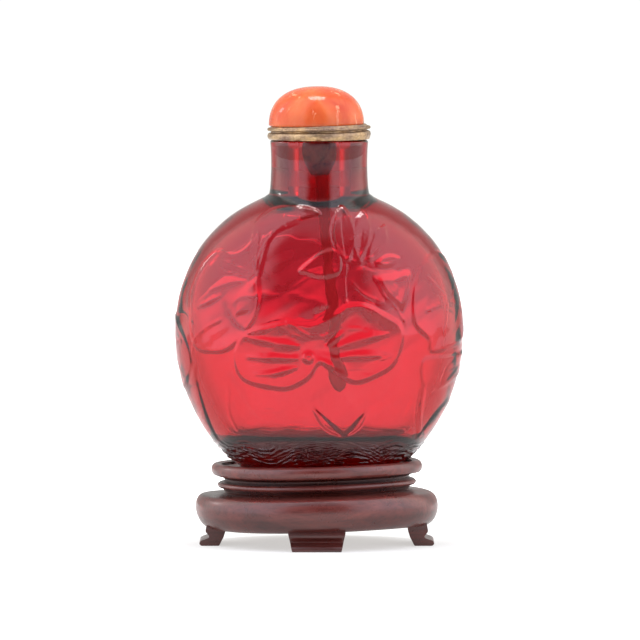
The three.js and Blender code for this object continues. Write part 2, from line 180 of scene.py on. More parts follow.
FOOT_Z = 13.2
BELLY_Z = 36.0
BELLY_HALF = (24.4, 15.2)
CROWN_RISE = 24.4
BASE_DROP = 27.2
SQUARENESS = 0.5
CROWN_POWER = 2.12  # the outline's upper half is a little squarer than its lower half
BASE_POWER = 2.0
DEEP_POWER = 2.6
NECK_R = 8.15
NECK_FLARE = 0.17
NECK_BLEND = 9
LIP_Z = 68.7
LIP_ROUND = 0.4
HOLLOW_FLOOR_Z = 18.8
HOLLOW_ROUND = 1.2  # where the walls meet the hollow's floor
HOLLOW_Z = 38.0
HOLLOW_HALF = (21.6, 12.4)
HOLLOW_RISE = 20.2
HOLLOW_DROP = 26.8
BORE_R = 3.6
BORE_BLEND = 6
BOTTLE_SHIFT = 0.4  # the bottle stands a little right of the middle of its stand

COLUMNS = 400
FRONT_COLUMNS = 300  # the front has the finer grid


def body_half(z):
    """Half width and half depth of the outside at a height."""
    reach = CROWN_RISE if z > BELLY_Z else BASE_DROP
    share = (z - BELLY_Z) / reach
    neck = NECK_R + min(NECK_FLARE * ((z - (LIP_Z - 4)) / 4) ** 2, NECK_FLARE)
    power = CROWN_POWER if z > BELLY_Z else BASE_POWER
    wide = blend(BELLY_HALF[0] * superellipse(share, power), neck, NECK_BLEND)
    deep = blend(BELLY_HALF[1] * superellipse(share, DEEP_POWER), neck, NECK_BLEND)
    return wide, deep


def hollow_half(z):
    """Half width and half depth of the hollow and its bore at a height."""
    up = z > HOLLOW_Z
    share = (z - HOLLOW_Z) / (HOLLOW_RISE if up else HOLLOW_DROP)
    corner = HOLLOW_ROUND - min(max(z - HOLLOW_FLOOR_Z, 0), HOLLOW_ROUND)
    inset = HOLLOW_ROUND - math.sqrt(HOLLOW_ROUND ** 2 - corner ** 2)
    wide = HOLLOW_HALF[0] * superellipse(share, CROWN_POWER if up else BASE_POWER) - inset
    deep = HOLLOW_HALF[1] * superellipse(share, DEEP_POWER) - inset
    return blend(wide, BORE_R, BORE_BLEND), blend(deep, BORE_R, BORE_BLEND)


def level(half, z):
    """Points round a level section, from -X by the front to +X and on by the back to -X."""
    wide, deep = half
    power = 2 + SQUARENESS * (1 - deep / wide)
    fine = 400
    turn = np.pi + np.linspace(0, np.pi, fine + 1)
    c, s = np.cos(turn), np.sin(turn)
    reach = (np.abs(c / wide) ** power + np.abs(s / deep) ** power) ** (-1 / power)
    x, y = c * reach, s * reach
    run = np.concatenate([[0], np.cumsum(np.hypot(np.diff(x), np.diff(y)))])
    front = np.linspace(0, run[-1], FRONT_COLUMNS, endpoint=False)
    back = np.linspace(run[-1], 0, COLUMNS - FRONT_COLUMNS, endpoint=False)
    xs = np.concatenate([np.interp(front, run, x), np.interp(back, run, x)])
    ys = np.concatenate([np.interp(front, run, y), -np.interp(back, run, y)])
    return np.stack([xs, ys, np.full(COLUMNS, z)], 1)


def spread(low, high, count, half, density=None):
    """Heights from low to high, evenly spaced along the outline that half gives, or closer where density is
    more."""
    z = np.linspace(low, high, 600)
    edge = np.array([half(h) for h in z])
    step = np.hypot(np.diff(edge.max(1)), np.diff(z))
    if density:
        step *= density((z[1:] + z[:-1]) / 2)
    run = np.concatenate([[0], np.cumsum(step)])
    return np.interp(np.linspace(0, run[-1], count), run, z)


OUTER_ROWS = 186
NECK_ROWS = 12
HOLLOW_ROWS = 26
BORE_ROWS = 7
WALL_START_Z = 13.6  # above the foot's soft corner
CARVED_FROM_Z = 13.7
WATER_TOP = 17.9
CARVED_TO_Z = 58.5
SHOULDER_Z = 60.5
HOLLOW_TOP_Z = 61
BORE_END_Z = 61.5
HOLLOW_WOBBLE = 0.004  # the hollow was ground by hand


def carving_density(z):
    """The plain shoulder needs fewer rows than the carving, and the ripples low down need more."""
    plain = smoothstep(CARVED_TO_Z - 3, CARVED_TO_Z, z)
    return 1 - 0.65 * plain + 1.3 * (1 - smoothstep(WATER_TOP, WATER_TOP + 0.8, z))


def outside_levels():
    """The rings of the outside, from the middle of the foot up to where the lip begins to turn in."""
    wide, deep = body_half(FOOT_Z + 0.2)
    rings = [level((wide * k - 0.5, deep * k - 0.5), FOOT_Z) for k in (0.35, 0.7, 1)]
    rings += [level((wide - 0.15, deep - 0.15), FOOT_Z + 0.12)]
    wall = spread(WALL_START_Z, SHOULDER_Z, OUTER_ROWS, body_half, carving_density)
    neck = np.linspace(SHOULDER_Z, LIP_Z - LIP_ROUND, NECK_ROWS + 1)[1:]
    return rings + [level(body_half(z), z) for z in [*wall, *neck]]


def inside_levels():
    """The rings from the lip's rounded edge down the bore and round the hollow to the middle of its floor."""
    rings = []
    lip = body_half(LIP_Z)[0]
    for turn in np.radians([30, 60, 90]):
        r = lip - LIP_ROUND * (1 - math.cos(turn))
        rings.append(level((r, r), LIP_Z - LIP_ROUND * (1 - math.sin(turn))))
    for r in (6.5, 4.6, BORE_R + 0.25):
        rings.append(level((r, r), LIP_Z))
    rings += [level((BORE_R, BORE_R), z) for z in np.linspace(LIP_Z - 0.25, BORE_END_Z, BORE_ROWS)]
    walls = spread(HOLLOW_FLOOR_Z + HOLLOW_ROUND, HOLLOW_TOP_Z, HOLLOW_ROWS, hollow_half)[::-1]
    corner = [HOLLOW_FLOOR_Z + rise for rise in (0.75, 0.4, 0.15, 0.02)]
    rings += [level(hollow_half(z), z) for z in [*walls, *corner]]
    wide, deep = hollow_half(HOLLOW_FLOOR_Z)
    return rings + [level((wide * k, deep * k), HOLLOW_FLOOR_Z) for k in (0.8, 0.4)]


# ------------------------------------------------------------------ glass body: the carving
# Each motif is drawn flat, u to the right and v up, where v is the height in the part. Each is cut over those
# before it.

LEAF_H = 0.11
STEP_H = 0.15
SIDE_H = 0.14  # the leaves that wrap round the edges stand out more
PETAL_H = 0.14
LINE_H = 0.085
LINE_SHARE = 0.5  # how much of a line's drawn height is kept after the polishing
BEHIND_AXIS = 0.4  # how far past the bottle's middle a motif still reaches


def motif(kind, line, height, **shape):
    return {"kind": kind, "line": line, "height": height, **shape}


def area(outline, height=LEAF_H, dish=0.55, lip=0.04, edge=0.42):
    """A raised area with a soft edge, a fine lip inside it and a dished middle."""
    line = curve_through(outline, closed=True)
    return motif("area", line, height, dish=dish, lip=lip, edge=edge)


def ridge(points, half=0.26, height=LINE_H, end=0.75):
    """A rounded ridge along a line; its half width runs from half to end times half."""
    return motif("ridge", curve_through(points), height, half=half, end=end)


def groove(points, half=0.24, depth=LINE_H, end=0.75):
    return ridge(points, half, -depth, end)


def step(points, height=STEP_H, reach=1.6):
    """A crisp edge: the ground rises on the left of the line and sinks back over a reach."""
    return motif("step", curve_through(points), height, reach=reach)


def bowed(base, tip, bow):
    """The middle line from a base to a tip, bowed to its left, and the direction of that side."""
    along = (tip - base) / np.linalg.norm(tip - base)
    left = np.array([-along[1], along[0]])
    return [base, (base + tip) / 2 + left * bow, tip], left


def lens(base, tip, width, height=LINE_H, bow=0.0):
    """A soft swelling between two veins."""
    middle, _ = bowed(np.array(base), np.array(tip), bow)
    return motif("lens", curve_through(middle), height, half=width / 2)


def petal(base, tip, width, bow=0.0, height=PETAL_H):
    """A spindle from its base to its tip, bowed to the left, with a crease down its middle."""
    base, tip = np.array(base), np.array(tip)
    points, left = bowed(base, tip, bow)
    middle = curve_through(points)
    share = np.linspace(0, 1, len(middle))
    half = (width / 2 * np.sin(np.pi * np.clip(share, 0.04, 0.97)) ** 0.7)[:, None]
    outline = np.vstack([middle + left * half, (middle - left * half)[::-1]])
    blade = motif("area", outline, height, dish=0.5, lip=0.05, edge=0.4)
    crease = groove([base, points[1], base + (tip - base) * 0.85], 0.3, 0.08)
    return [blade, crease]


def fan(hub, ends, half=0.24, spread_to=1.5, height=-LINE_H):
    """Veins from a hub, which widen towards their ends."""
    hub = np.array(hub)
    starts = [hub + (np.array(end) - hub) * 0.12 for end in ends]
    return [ridge([start, end], half, height, end=spread_to) for start, end in zip(starts, ends)]


TALL_LEAF = [
    (0.3, 56.8), (-3.3, 58), (-7.1, 57.8), (-9.4, 56.6), (-11.1, 54.8), (-11.7, 52), (-14.1, 50.2),
    (-17.2, 50.5), (-19.8, 48.1), (-21.6, 44.2), (-22, 40.4), (-21.2, 34.3), (-17.8, 33.2),
    (-14.4, 34.4), (-10.9, 38.8), (-9.8, 42.4), (-10, 46.2), (-9.3, 48.9), (-8.4, 51.9), (-6.6, 54),
    (-3.4, 55.4),
]
BOW_LEAF = [
    (-14.2, 34.2), (-12.4, 37), (-8.6, 38.2), (-5, 38.9), (-1.3, 38.5), (1.6, 39.7), (4.5, 41.4),
    (6.4, 41.8), (8.4, 41.4), (10.3, 40.4), (13.8, 38), (14, 34.6), (12.4, 31.2), (9.4, 29.4),
    (6.3, 28.4), (3.9, 29.2), (1.4, 31), (0, 31.6), (-1.4, 29.6), (-3.1, 28.3), (-5.8, 27.3),
    (-9.3, 27.7), (-12.4, 28.6), (-14, 30.6),
]
HUB = [(-2.8, 32.7), (-2.3, 33.5), (-1.3, 33.6), (-0.8, 32.8), (-1.2, 31.9), (-2.3, 31.9)]
POINTED_LEAF = [
    (-3.5, 47.3), (-0.4, 50), (1.9, 50.9), (3.6, 50.4), (3.8, 47.4), (2.5, 46.4), (0, 46.1), (-2.1, 46.7),
]
FOLDED_LEAF = [
    (9.5, 46.1), (12.4, 46.6), (15.3, 47), (15.1, 43.6), (14, 40.4), (12.9, 41.4), (11.2, 43.2), (10.1, 44.9),
]
RIGHT_LEAF = [
    (4.9, 48.7), (1.9, 45.5), (0.8, 41.5), (1.1, 38), (3.4, 35.6), (4.4, 33.2), (10.4, 34.2),
    (15, 35.4), (17.8, 38.6), (18.6, 43), (15, 48), (9.6, 50.2),
]
LOW_RIGHT_LEAF = [
    (2.2, 31.4), (4, 32.6), (7.6, 32.6), (12, 32.8), (17, 33), (18, 29.8), (12, 28.4), (7, 26.8),
    (3.2, 27.6),
]
LEFT_LEAF = [
    (7.6, 31), (6.6, 35.6), (2, 39), (-4, 39.2), (-8.4, 35), (-7, 29.4), (-2, 26.4), (4, 27.2),
]
BACK_LEAF = [
    (13.6, 50.4), (6, 52.6), (-2, 49.8), (-4.8, 43.4), (-2.6, 37), (3.4, 34), (8, 36.4), (11.6, 34.6),
    (16.4, 39), (17, 45.6),
]


def tall_leaf():
    """Upper left: folded along its veins, with its right edge curled over."""
    return [
        area(TALL_LEAF),
        lens((-12.6, 47.3), (-17.4, 49.1), 1.7, bow=0.1),
        lens((-12.6, 45.6), (-18.8, 43.6), 1.5, bow=-0.3),
        lens((-16.4, 43), (-20.4, 40.9), 1.0, 0.1),
        lens((-10.7, 47), (-9.9, 55), 1.5, bow=0.2),
        lens((-11, 45.2), (-13.8, 40), 4.6, 0.1, bow=0.4),
        groove([(-12, 46.6), (-14.3, 47), (-15.9, 47.6), (-17, 48.5)], 0.26, 0.15),
        groove([(-12, 45.9), (-15.2, 46.4), (-16.3, 46), (-17.8, 44.7), (-20.3, 42.3)], 0.28, 0.15),
        groove([(-11.7, 50.9), (-11.4, 48.7), (-11, 47.1)], 0.26, 0.14),
        groove([(-17.6, 43.4), (-18.6, 42.6), (-19.3, 41.7)], 0.22, 0.1),
        groove([(-11.8, 45.4), (-11.2, 45.9), (-10.6, 46.5)], 0.55, 0.14, end=1),
        ridge([(-10, 46.6), (-9.4, 48.9), (-8.7, 51.5), (-7, 53.8), (-3.4, 55.3)], 0.36, 0.16),
        ridge([(-10.5, 47.6), (-9.9, 50.2), (-8.6, 52.6)], 0.24, 0.1),
        ridge([(-5.8, 56.2), (-5.4, 54.6)], 0.3, 0.14),
        ridge([(-2.6, 57.4), (-1.2, 57.3), (0.2, 56.6)], 0.4, 0.12),
    ]


def bow_leaf():
    """In the middle: two open lobes with a curled lip over them and a round hub between."""
    return [
        area(BOW_LEAF, 0.2, 0.5),
        lens((-3.4, 34.6), (-12.4, 36), 2.2, 0.1),
        lens((-3.6, 32.6), (-12.8, 32.8), 1.6, 0.12),
        lens((-3.8, 31), (-11.6, 29.8), 1.5, 0.12, bow=0.3),
        lens((2.2, 34.2), (11.6, 36.6), 2.4, 0.1, bow=0.4),
        lens((2.4, 32.6), (12.2, 33), 2.2, 0.1, bow=0.3),
        groove([(-3.5, 33.6), (-6, 33.8), (-9.6, 33.3)]),
        groove([(-4.3, 31.8), (-8.9, 31.5), (-13.2, 31.8)], 0.22),
        groove([(-3.1, 30.9), (-5.8, 29.5), (-8.8, 28.8)]),
        groove([(0.4, 32.8), (2.1, 32.2), (2.9, 30.9)], 0.3),
        groove([(2.4, 31), (5.4, 30.3), (8.6, 30.4)], 0.2, 0.08),
        area(HUB, 0.3, 0.6, 0.05, 0.35),
        ridge([(-5.4, 38.9), (-3.4, 37.4), (-1.7, 36.4), (0.2, 36.2), (1.8, 36.9), (3, 38)], 0.32, 0.15),
        ridge([(-3.6, 39), (-1.3, 38.6), (1.6, 39.7), (4.5, 41.3), (6.4, 41.7), (8.4, 41.3), (10.3, 40.3),
               (13.8, 38.1)], 0.34, 0.16),
        groove([(3.5, 37.5), (2.4, 36.3), (1.1, 35.1)], 0.5, 0.2),
        ridge([(4, 36.9), (1.7, 35.1)], 0.22, 0.12),
        ridge([(4.9, 37.5), (7, 37.5), (9.1, 36.9)], 0.24, 0.1),
        groove([(-0.3, 40.1), (1.3, 40.9)], 0.9, 0.16, end=0.6),
    ]


def lotus_flower():
    """Upper right: pointed petals on a stalk, with a pointed leaf behind the stalk."""
    return [
        area(POINTED_LEAF, 0.2),
        groove([(-2, 47.4), (0.6, 48.3), (2.8, 48.8)], 0.3, 0.1),
        *petal((9.4, 48.4), (13.6, 49.2), 2, height=0.2),
        *petal((8.2, 48.8), (11, 54.8), 3, bow=-0.5),
        *petal((6.6, 48.8), (7.6, 57), 3.4),
        *petal((4.7, 48.6), (3.7, 58), 4.4, bow=0.2),
        ridge([(5.3, 52.2), (6.8, 52.9), (8.2, 53.4), (9.6, 53.9), (11, 54.3)], 0.24, 0.12),
        ridge([(7.3, 56.7), (5.8, 55.4)], 0.4, 0.14),
        ridge([(4.1, 48.9), (5.1, 49.3), (6, 48.7), (7.2, 48.7), (8, 49.2), (9.1, 49.4)], 0.28, 0.14),
        groove([(7.4, 48.1), (10.3, 47.3), (12.9, 47.6)], 0.35, 0.12),
        ridge([(4.4, 48.2), (4.2, 46), (4.3, 43.3), (4.6, 41.4)], 0.7, 0.2, end=0.9),
        groove([(4.5, 46.4), (4.6, 44.4), (4.8, 42)], 0.2, 0.07),
    ]


def folded_leaf():
    """Right of the flower's stalk: a leaf that folds away from it."""
    return [
        area(FOLDED_LEAF, 0.2, 0.4, edge=0.8),
        ridge([(9.3, 46), (10.1, 44.8), (11.1, 43), (12.8, 41.2), (14.2, 38.8)], 0.36, 0.17),
        ridge([(9.4, 46.2), (11.7, 46.4), (15.2, 47.1)], 0.24, 0.1),
        groove([(11, 45.2), (11.9, 43.8), (13, 42.7)], 0.34, 0.12),
        ridge([(5.6, 45.3), (7.2, 43.5), (9.5, 42.4), (10.8, 42.1)], 0.3, 0.14),
        groove([(6.3, 44), (7.8, 42.6), (9.8, 41.7)], 0.24, 0.12),
    ]


def low_plants():
    """Low down: sprouts, a floating twig and a short stalk."""
    return [
        *petal((4.2, 19.2), (-1.1, 24.3), 1.5, bow=0.5, height=0.2),
        *petal((4.4, 19.3), (8, 23.7), 1.2, bow=-0.3, height=0.2),
        groove([(-10, 23.6), (-8, 23.7), (-6.1, 23.9)], 0.26, 0.14),
        ridge([(-15.2, 27.5), (-15.3, 25), (-15.1, 22.8), (-13.9, 20.2)], 0.42, 0.17),
        step([(-16.2, 17.1), (-17.8, 19.5), (-19.1, 22.9), (-20.2, 26.7), (-20.7, 29.1), (-20.6, 31.6)],
             reach=1.8),
        ridge([(-16.6, 38.9), (-18.7, 37.7), (-20.5, 36.1), (-21.3, 34.1), (-21.3, 32.4)], 0.3, 0.14),
        step([(22.3, 25.6), (19.6, 22.6), (17.6, 20.1), (16.1, 18.3)]),
        ridge([(17.6, 27.2), (17.1, 23.4), (16.9, 19.2)], 0.62, 0.26, end=0.9),
        groove([(16.7, 27.1), (16.2, 23.1), (16.3, 19.3)], 0.28, 0.14),
    ]


def right_side():
    """A broad leaf round the right edge, and a smaller one under it."""
    return [
        area(RIGHT_LEAF, SIDE_H),
        *fan((8.6, 42), [(4.6, 46), (3.4, 40.4), (7, 36.4), (15.4, 39.4), (14.6, 46.4)], height=0.12),
        area(LOW_RIGHT_LEAF, SIDE_H),
        ridge([(6.8, 27.2), (9.6, 28.6), (13, 30.8)], 0.34, 0.17),
        groove([(7, 28.1), (8.5, 31.1), (11.4, 32.6)], 0.36, 0.18),
        groove([(2.4, 31), (2.5, 32), (3.6, 34), (3.9, 35.6)], 0.3, 0.15),
    ]


def left_side():
    """One leaf, with its veins."""
    return [
        area(LEFT_LEAF, SIDE_H),
        *fan((-0.6, 33), [(-5.4, 36.2), (5.4, 34.8), (4.2, 29), (-4.8, 29.4)], height=0.14),
    ]


def back():
    """Plainer than the front: an open leaf and a bud on their stalks, and two blades."""
    return [
        area(BACK_LEAF),
        *fan((5.6, 42), [(12, 48.8), (5.6, 50.8), (-1.6, 46.6), (-2, 39), (4, 35.8), (14.6, 40.4)],
             half=0.45, spread_to=1.9, height=0.12),
        ridge([(5.4, 34.4), (4.6, 28), (6, 19)], 0.8, 0.2),
        *petal((-9.6, 38), (-11.4, 46.6), 3.4, bow=0.7),
        *petal((-9.6, 38), (-6.9, 46.4), 3.4, bow=-0.7),
        *petal((-9.6, 37.6), (-9, 48), 3.8),
        ridge([(-9.6, 38.2), (-10.6, 29), (-8.4, 19)], 0.8, 0.2),
        *petal((-2, 18), (-3.4, 33), 3, bow=-1, height=LEAF_H),
        *petal((13, 19), (17.4, 28), 2.4, bow=0.8, height=LEAF_H),
    ]


def all_carving():
    """Every motif with its turn, the angle that it is carved from: 0 is the front and 90 the right side."""
    front = [*tall_leaf(), *bow_leaf(), *folded_leaf(), *lotus_flower(), *low_plants()]
    sides = [(0, front), (50, right_side()), (-90, left_side()), (180, back())]
    return [(turn, carved) for turn, side in sides for carved in side]


def distance_to(line, u, v, closed):
    """The distance of each point from a line, how far along the line its nearest place is, and whether the
    point is on the line's left."""
    start = line if closed else line[:-1]
    end = np.roll(line, -1, 0) if closed else line[1:]
    run = end - start
    best = np.full(len(u), 1e9)
    where = np.zeros(len(u))
    left = np.zeros(len(u), bool)
    for i, (p, d) in enumerate(zip(start, run)):
        length = max(float(d @ d), 1e-9)
        t = np.clip(((u - p[0]) * d[0] + (v - p[1]) * d[1]) / length, 0, 1)
        away = np.hypot(u - p[0] - t * d[0], v - p[1] - t * d[1])
        closer = away < best
        best[closer] = away[closer]
        where[closer] = (i + t[closer]) / len(start)
        left[closer] = (d[0] * (v - p[1]) - d[1] * (u - p[0]))[closer] > 0
    return best, where, left


def inside(line, u, v):
    found = np.zeros(len(u), bool)
    for (u0, v0), (u1, v1) in zip(line, np.roll(line, -1, 0)):
        if v0 != v1:
            crosses = (v > min(v0, v1)) & (v <= max(v0, v1))
            found ^= crosses & (u < u0 + (v - v0) * (u1 - u0) / (v1 - v0))
    return found


AREA_REACH = 2.8  # how far in from its edge an area goes on sinking
STEP_HALF = 0.18


def carve_area(h, carved, depth):
    """Cuts an area over what is there; depth is how far inside its outline a point is."""
    edge = carved["edge"]
    cover = smoothstep(-0.15, edge, depth)
    lip = carved["lip"] * np.exp(-(((depth - edge) / 0.3) ** 2))
    top = carved["height"] * (1 - carved["dish"] * smoothstep(edge, AREA_REACH, depth)) + lip
    return h * (1 - cover) + top * cover


def carve_line(h, carved, away, share, left):
    """Adds a ridge, a lens or a step to what is there."""
    if carved["kind"] == "step":
        signed = np.where(left, away, -away)
        rise = smoothstep(-STEP_HALF, STEP_HALF, signed) * (1 - smoothstep(0.3, carved["reach"], signed))
        ends = smoothstep(0, 0.1, share) * (1 - smoothstep(0.9, 1, share))
        return h + carved["height"] * rise * ends
    if carved["kind"] == "ridge":
        height = LINE_SHARE * carved["height"]
        half = carved["half"] * (1 + (carved["end"] - 1) * share)
    else:
        height = carved["height"]
        half = carved["half"] * np.sin(np.pi * np.clip(share, 0.02, 0.98)) ** 0.7
    return h + height * np.cos(np.pi / 2 * np.clip(away / half, 0, 1)) ** 2


def carve(heights, carved, turn, x, y, z):
    """Carves one motif into the heights of the skin's points."""
    angle = math.radians(turn)
    u = x * math.cos(angle) + y * math.sin(angle)
    facing = x * math.sin(angle) - y * math.cos(angle)
    margin = 2.5
    low = carved["line"].min(0) - margin
    high = carved["line"].max(0) + margin
    near = (facing > -BEHIND_AXIS) & (u > low[0]) & (u < high[0]) & (z > low[1]) & (z < high[1])
    u, v, h = u[near], z[near], heights[near]
    closed = carved["kind"] == "area"
    away, share, left = distance_to(carved["line"], u, v, closed)
    if closed:
        heights[near] = carve_area(h, carved, np.where(inside(carved["line"], u, v), away, -away))
    else:
        heights[near] = carve_line(h, carved, away, share, left)


WATER_H = 0.12
RIPPLE_GAP = 0.85  # from one line of the water to the next
RIPPLE_H = 0.08


def water(x, y, z):
    """The low bank of water round the foot, which rises and falls, with lines round it like ripples: how high
    it is and how far it covers what is carved there."""
    way = np.arctan2(y, x) * 16  # about the distance round, in mm
    swell = 0.5 * np.sin(way * 0.42) + 0.3 * np.sin(way * 1.1 + 1)
    cover = 1 - smoothstep(WATER_TOP - 0.5, WATER_TOP + 0.1, z - swell)
    curl = 0.8 * np.sin(way * 0.31 + 0.7) + 0.3 * np.sin(way * 0.9 + 2)
    lines = np.cos(2 * np.pi * (z + curl) / RIPPLE_GAP)
    return cover * smoothstep(CARVED_FROM_Z, CARVED_FROM_Z + 0.6, z) * (WATER_H + RIPPLE_H * lines), cover


def hand_polish(x, y, z):
    """The slight unevenness that hand polishing leaves."""
    return (0.03 * np.sin(x * 0.55 + 1.3) * np.sin(z * 0.5 + 0.4 * y)
            + 0.02 * np.sin(x * 1.1 - z * 0.8) * np.sin(z * 0.9 + y * 0.7 + 2))


def relief_heights(points):
    """How far the carving lifts each point of the outside."""
    x, y, z = points.T
    heights = np.zeros(len(points))
    for turn, carved in all_carving():
        carve(heights, carved, turn, x, y, z)
    bank, cover = water(x, y, z)
    heights = np.maximum(heights, bank) * cover + heights * (1 - cover)
    fade = smoothstep(CARVED_FROM_Z, 15, z) * (1 - smoothstep(CARVED_TO_Z, SHOULDER_Z, z))
    polished = smoothstep(CARVED_FROM_Z, 16, z) * (1 - smoothstep(60, 64, z))
    return heights * fade + hand_polish(x, y, z) * polished


def grid_normals(grid):
    """Outward unit normals of a grid of rings, lowest first."""
    around = np.roll(grid, -1, 1) - np.roll(grid, 1, 1)
    upward = np.gradient(grid, axis=0)
    normal = np.cross(around, upward)
    return normal / np.linalg.norm(normal, axis=2, keepdims=True)


def glass_body():
    """The hollow glass bottle. One ball is drawn out: its lower part is the outside, its upper part is turned
    in through the lip to line the bore and the hollow."""
    outer = outside_levels()
    outside = len(outer)
    grid = np.array(outer + inside_levels())
    skin = grid[:outside]
    heights = relief_heights(skin.reshape(-1, 3)).reshape(outside, COLUMNS, 1)
    grid[:outside] = skin + grid_normals(skin) * heights
    lining = grid[outside:]
    uneven = np.sin(lining[:, :, 0] * 0.5 + 2) * np.sin(lining[:, :, 2] * 0.42)
    deep = smoothstep(20, 24, lining[:, :, 2]) * (1 - smoothstep(52, 58, lining[:, :, 2]))
    lining[:, :, 1] *= 1 + HOLLOW_WOBBLE * uneven * deep

    deselect_all()
    bpy.ops.mesh.primitive_uv_sphere_add(segments=COLUMNS, ring_count=len(grid) + 1, radius=1)
    piece = bpy.context.object
    piece.name = "ruby_glass_bottle"
    ball = points_of(piece) * MM
    up = np.arcsin(np.clip(ball[:, 2], -1, 1)) / np.pi + 0.5
    row = np.rint(up * (len(grid) + 1)).astype(int)
    round_share = (np.arctan2(ball[:, 1], ball[:, 0]) + np.pi) / (2 * np.pi)
    column = np.rint(round_share * COLUMNS).astype(int) % COLUMNS
    middle = np.clip(row - 1, 0, len(grid) - 1)
    place = grid[middle, column]
    place[row == 0] = (0, 0, FOOT_Z)
    place[row == len(grid) + 1] = (0, 0, HOLLOW_FLOOR_Z)
    place[:, 0] += BOTTLE_SHIFT
    place_points(piece, place)
    only(piece)
    bpy.ops.object.shade_smooth()
    return piece


# ------------------------------------------------------------------ stopper

COLLAR_R = 8.8
COLLAR_H = 2.3
SEATING_GAP = 0.05
STOPPER_TILT = 1.3
DOME_R = 8.1
DOME_H = 6.55
DOME_POWER = 2.3
DOME_SHIFT = -0.4  # the stone is set a little left in its collar
CORK = {"top": 2.95, "tip": 1.5, "straight": 2, "length": 6.2}
SPOON = {
    "length": 40, "lean": 3.1, "width": 2.2, "thick": 0.9, "bowl_width": 2.9, "bowl_length": 5.4, "tang": 3,
}
STOPPER_Z = LIP_Z + SEATING_GAP + NECK_R * math.sin(math.radians(STOPPER_TILT))


def lean(points, degrees):
    """Points turned about the Y axis, their tops towards -X."""
    angle = math.radians(degrees)
    c, s = math.cos(angle), math.sin(angle)
    x, y, z = points.T
    return np.stack([c * x - s * z, y, s * x + c * z], 1)


def seat_stopper(piece, soft_angle):
    """Sets a stopper piece, drawn about its own axis from the lip up, on the neck with the stopper's tilt."""
    tilted = lean(points_of(piece), STOPPER_TILT)
    place_points(piece, tilted + (BOTTLE_SHIFT, 0, STOPPER_Z))
    smooth(piece, soft_angle)
    return piece


def dome():
    """The polished stone: a dome with a soft lower corner, not quite true."""
    base = COLLAR_H + 0.01
    corner = 0.12
    rings = [(DOME_R - corner, DOME_R - corner, base), (DOME_R, DOME_R, base + corner)]
    steps = 34
    for i in range(1, steps):
        high = math.sin(i / steps * math.pi / 2) ** 1.1
        r = DOME_R * superellipse(high, DOME_POWER)
        rings.append((r, r, base + corner + (DOME_H - corner) * high))
    rings.append((0, 0, base + DOME_H))
    piece = draw_up("carnelian_dome", rings, 112)
    points = points_of(piece)
    turn = np.arctan2(points[:, 1], points[:, 0])
    worn = 1 + 0.004 * np.sin(2 * turn + 1) * np.sin(points[:, 2] * 0.9) - 0.004
    points[:, :2] *= worn[:, None]
    points[:, 0] += DOME_SHIFT
    place_points(piece, points)
    return seat_stopper(piece, 50)


ROPE_R = 8.5
ROPE_HALF = 0.27
ROPE_Z = 1.74
ROPE_TWISTS = 70


def twisted_wire():
    """Two strands twisted into a cord and bent to a ring."""
    deselect_all()
    bpy.ops.mesh.primitive_torus_add(major_radius=ROPE_R * MM, minor_radius=ROPE_HALF * MM,
                                     major_segments=ROPE_TWISTS * 12, minor_segments=12)
    piece = bpy.context.object
    piece.name = "twisted_wire"
    points = points_of(piece)
    turn = np.arctan2(points[:, 1], points[:, 0])
    out = np.hypot(points[:, 0], points[:, 1]) - ROPE_R
    round_turn = np.arctan2(points[:, 2], out)
    strands = np.abs(np.cos(round_turn - ROPE_TWISTS * turn))
    size = ROPE_HALF * (0.62 + 0.38 * strands)
    radius = ROPE_R + size * np.cos(round_turn)
    points = np.stack([radius * np.cos(turn), radius * np.sin(turn), ROPE_Z + size * np.sin(round_turn)], 1)
    place_points(piece, points)
    return piece


UNDERSIDE_DROP = 0.75  # how much of the stopper's tilt the collar's underside makes up for at its right

# The collar's outside: (how far in from its widest, height).
COLLAR_SHAPE = [
    (0.5, 0.0), (0.25, 0.06), (0.08, 0.25), (0, 0.5), (0, 0.75), (0.08, 1.0), (0.25, 1.14), (0.5, 1.2),
    (0.62, 1.26), (0.62, 1.4), (0.5, 1.5), (0.5, 2.0), (0.62, 2.16), (0.75, COLLAR_H),
]


def collar():
    """Thin gilt metal, a little dented, with a twisted wire round its top."""
    r = COLLAR_R
    piece = draw_up("gilt_collar", [(r - inset, r - inset, high) for inset, high in COLLAR_SHAPE], 120)
    points = points_of(piece)
    turn = np.arctan2(points[:, 1], points[:, 0])
    flange = points[:, 2] < 1.3
    dents = 0.05 * np.sin(5 * turn + 0.7) * np.sin(11 * turn) * flange * (points[:, 2] > 0.1)
    points[:, :2] *= (1 - (0.05 + dents) / r)[:, None]
    points[:, 2] += 0.03 * np.sin(3 * turn + 2) * (points[:, 2] > 0.3) * flange
    slope = math.tan(math.radians(STOPPER_TILT))
    points[:, 2] -= np.where(points[:, 2] < 0.1, UNDERSIDE_DROP * slope * (points[:, 0] + r), 0)
    place_points(piece, points)
    piece = join([piece, twisted_wire()], "gilt_collar")
    return seat_stopper(piece, 45)


def cork():
    """A short cork, straight at its top and rounded below, with pitted sides."""
    rings = [(0.9, 0.9, -CORK["length"])]
    steps = 10
    for i in range(steps, -1, -1):
        r = CORK["tip"] + (CORK["top"] - CORK["tip"]) * math.cos(i / steps * math.pi / 2)
        rings.append((r, r, -CORK["straight"] - (CORK["length"] - CORK["straight"]) * i / steps))
    rings.append((CORK["top"], CORK["top"], -0.02))
    piece = draw_up("cork", rings, 48)
    points = points_of(piece)
    turn = np.arctan2(points[:, 1], points[:, 0])
    pitted = 1 - 0.02 * np.abs(np.sin(7 * turn + 3 * points[:, 2]) * np.sin(4 * points[:, 2] + 2 * turn))
    points[:, :2] *= pitted[:, None]
    place_points(piece, points)
    return seat_stopper(piece, 50)


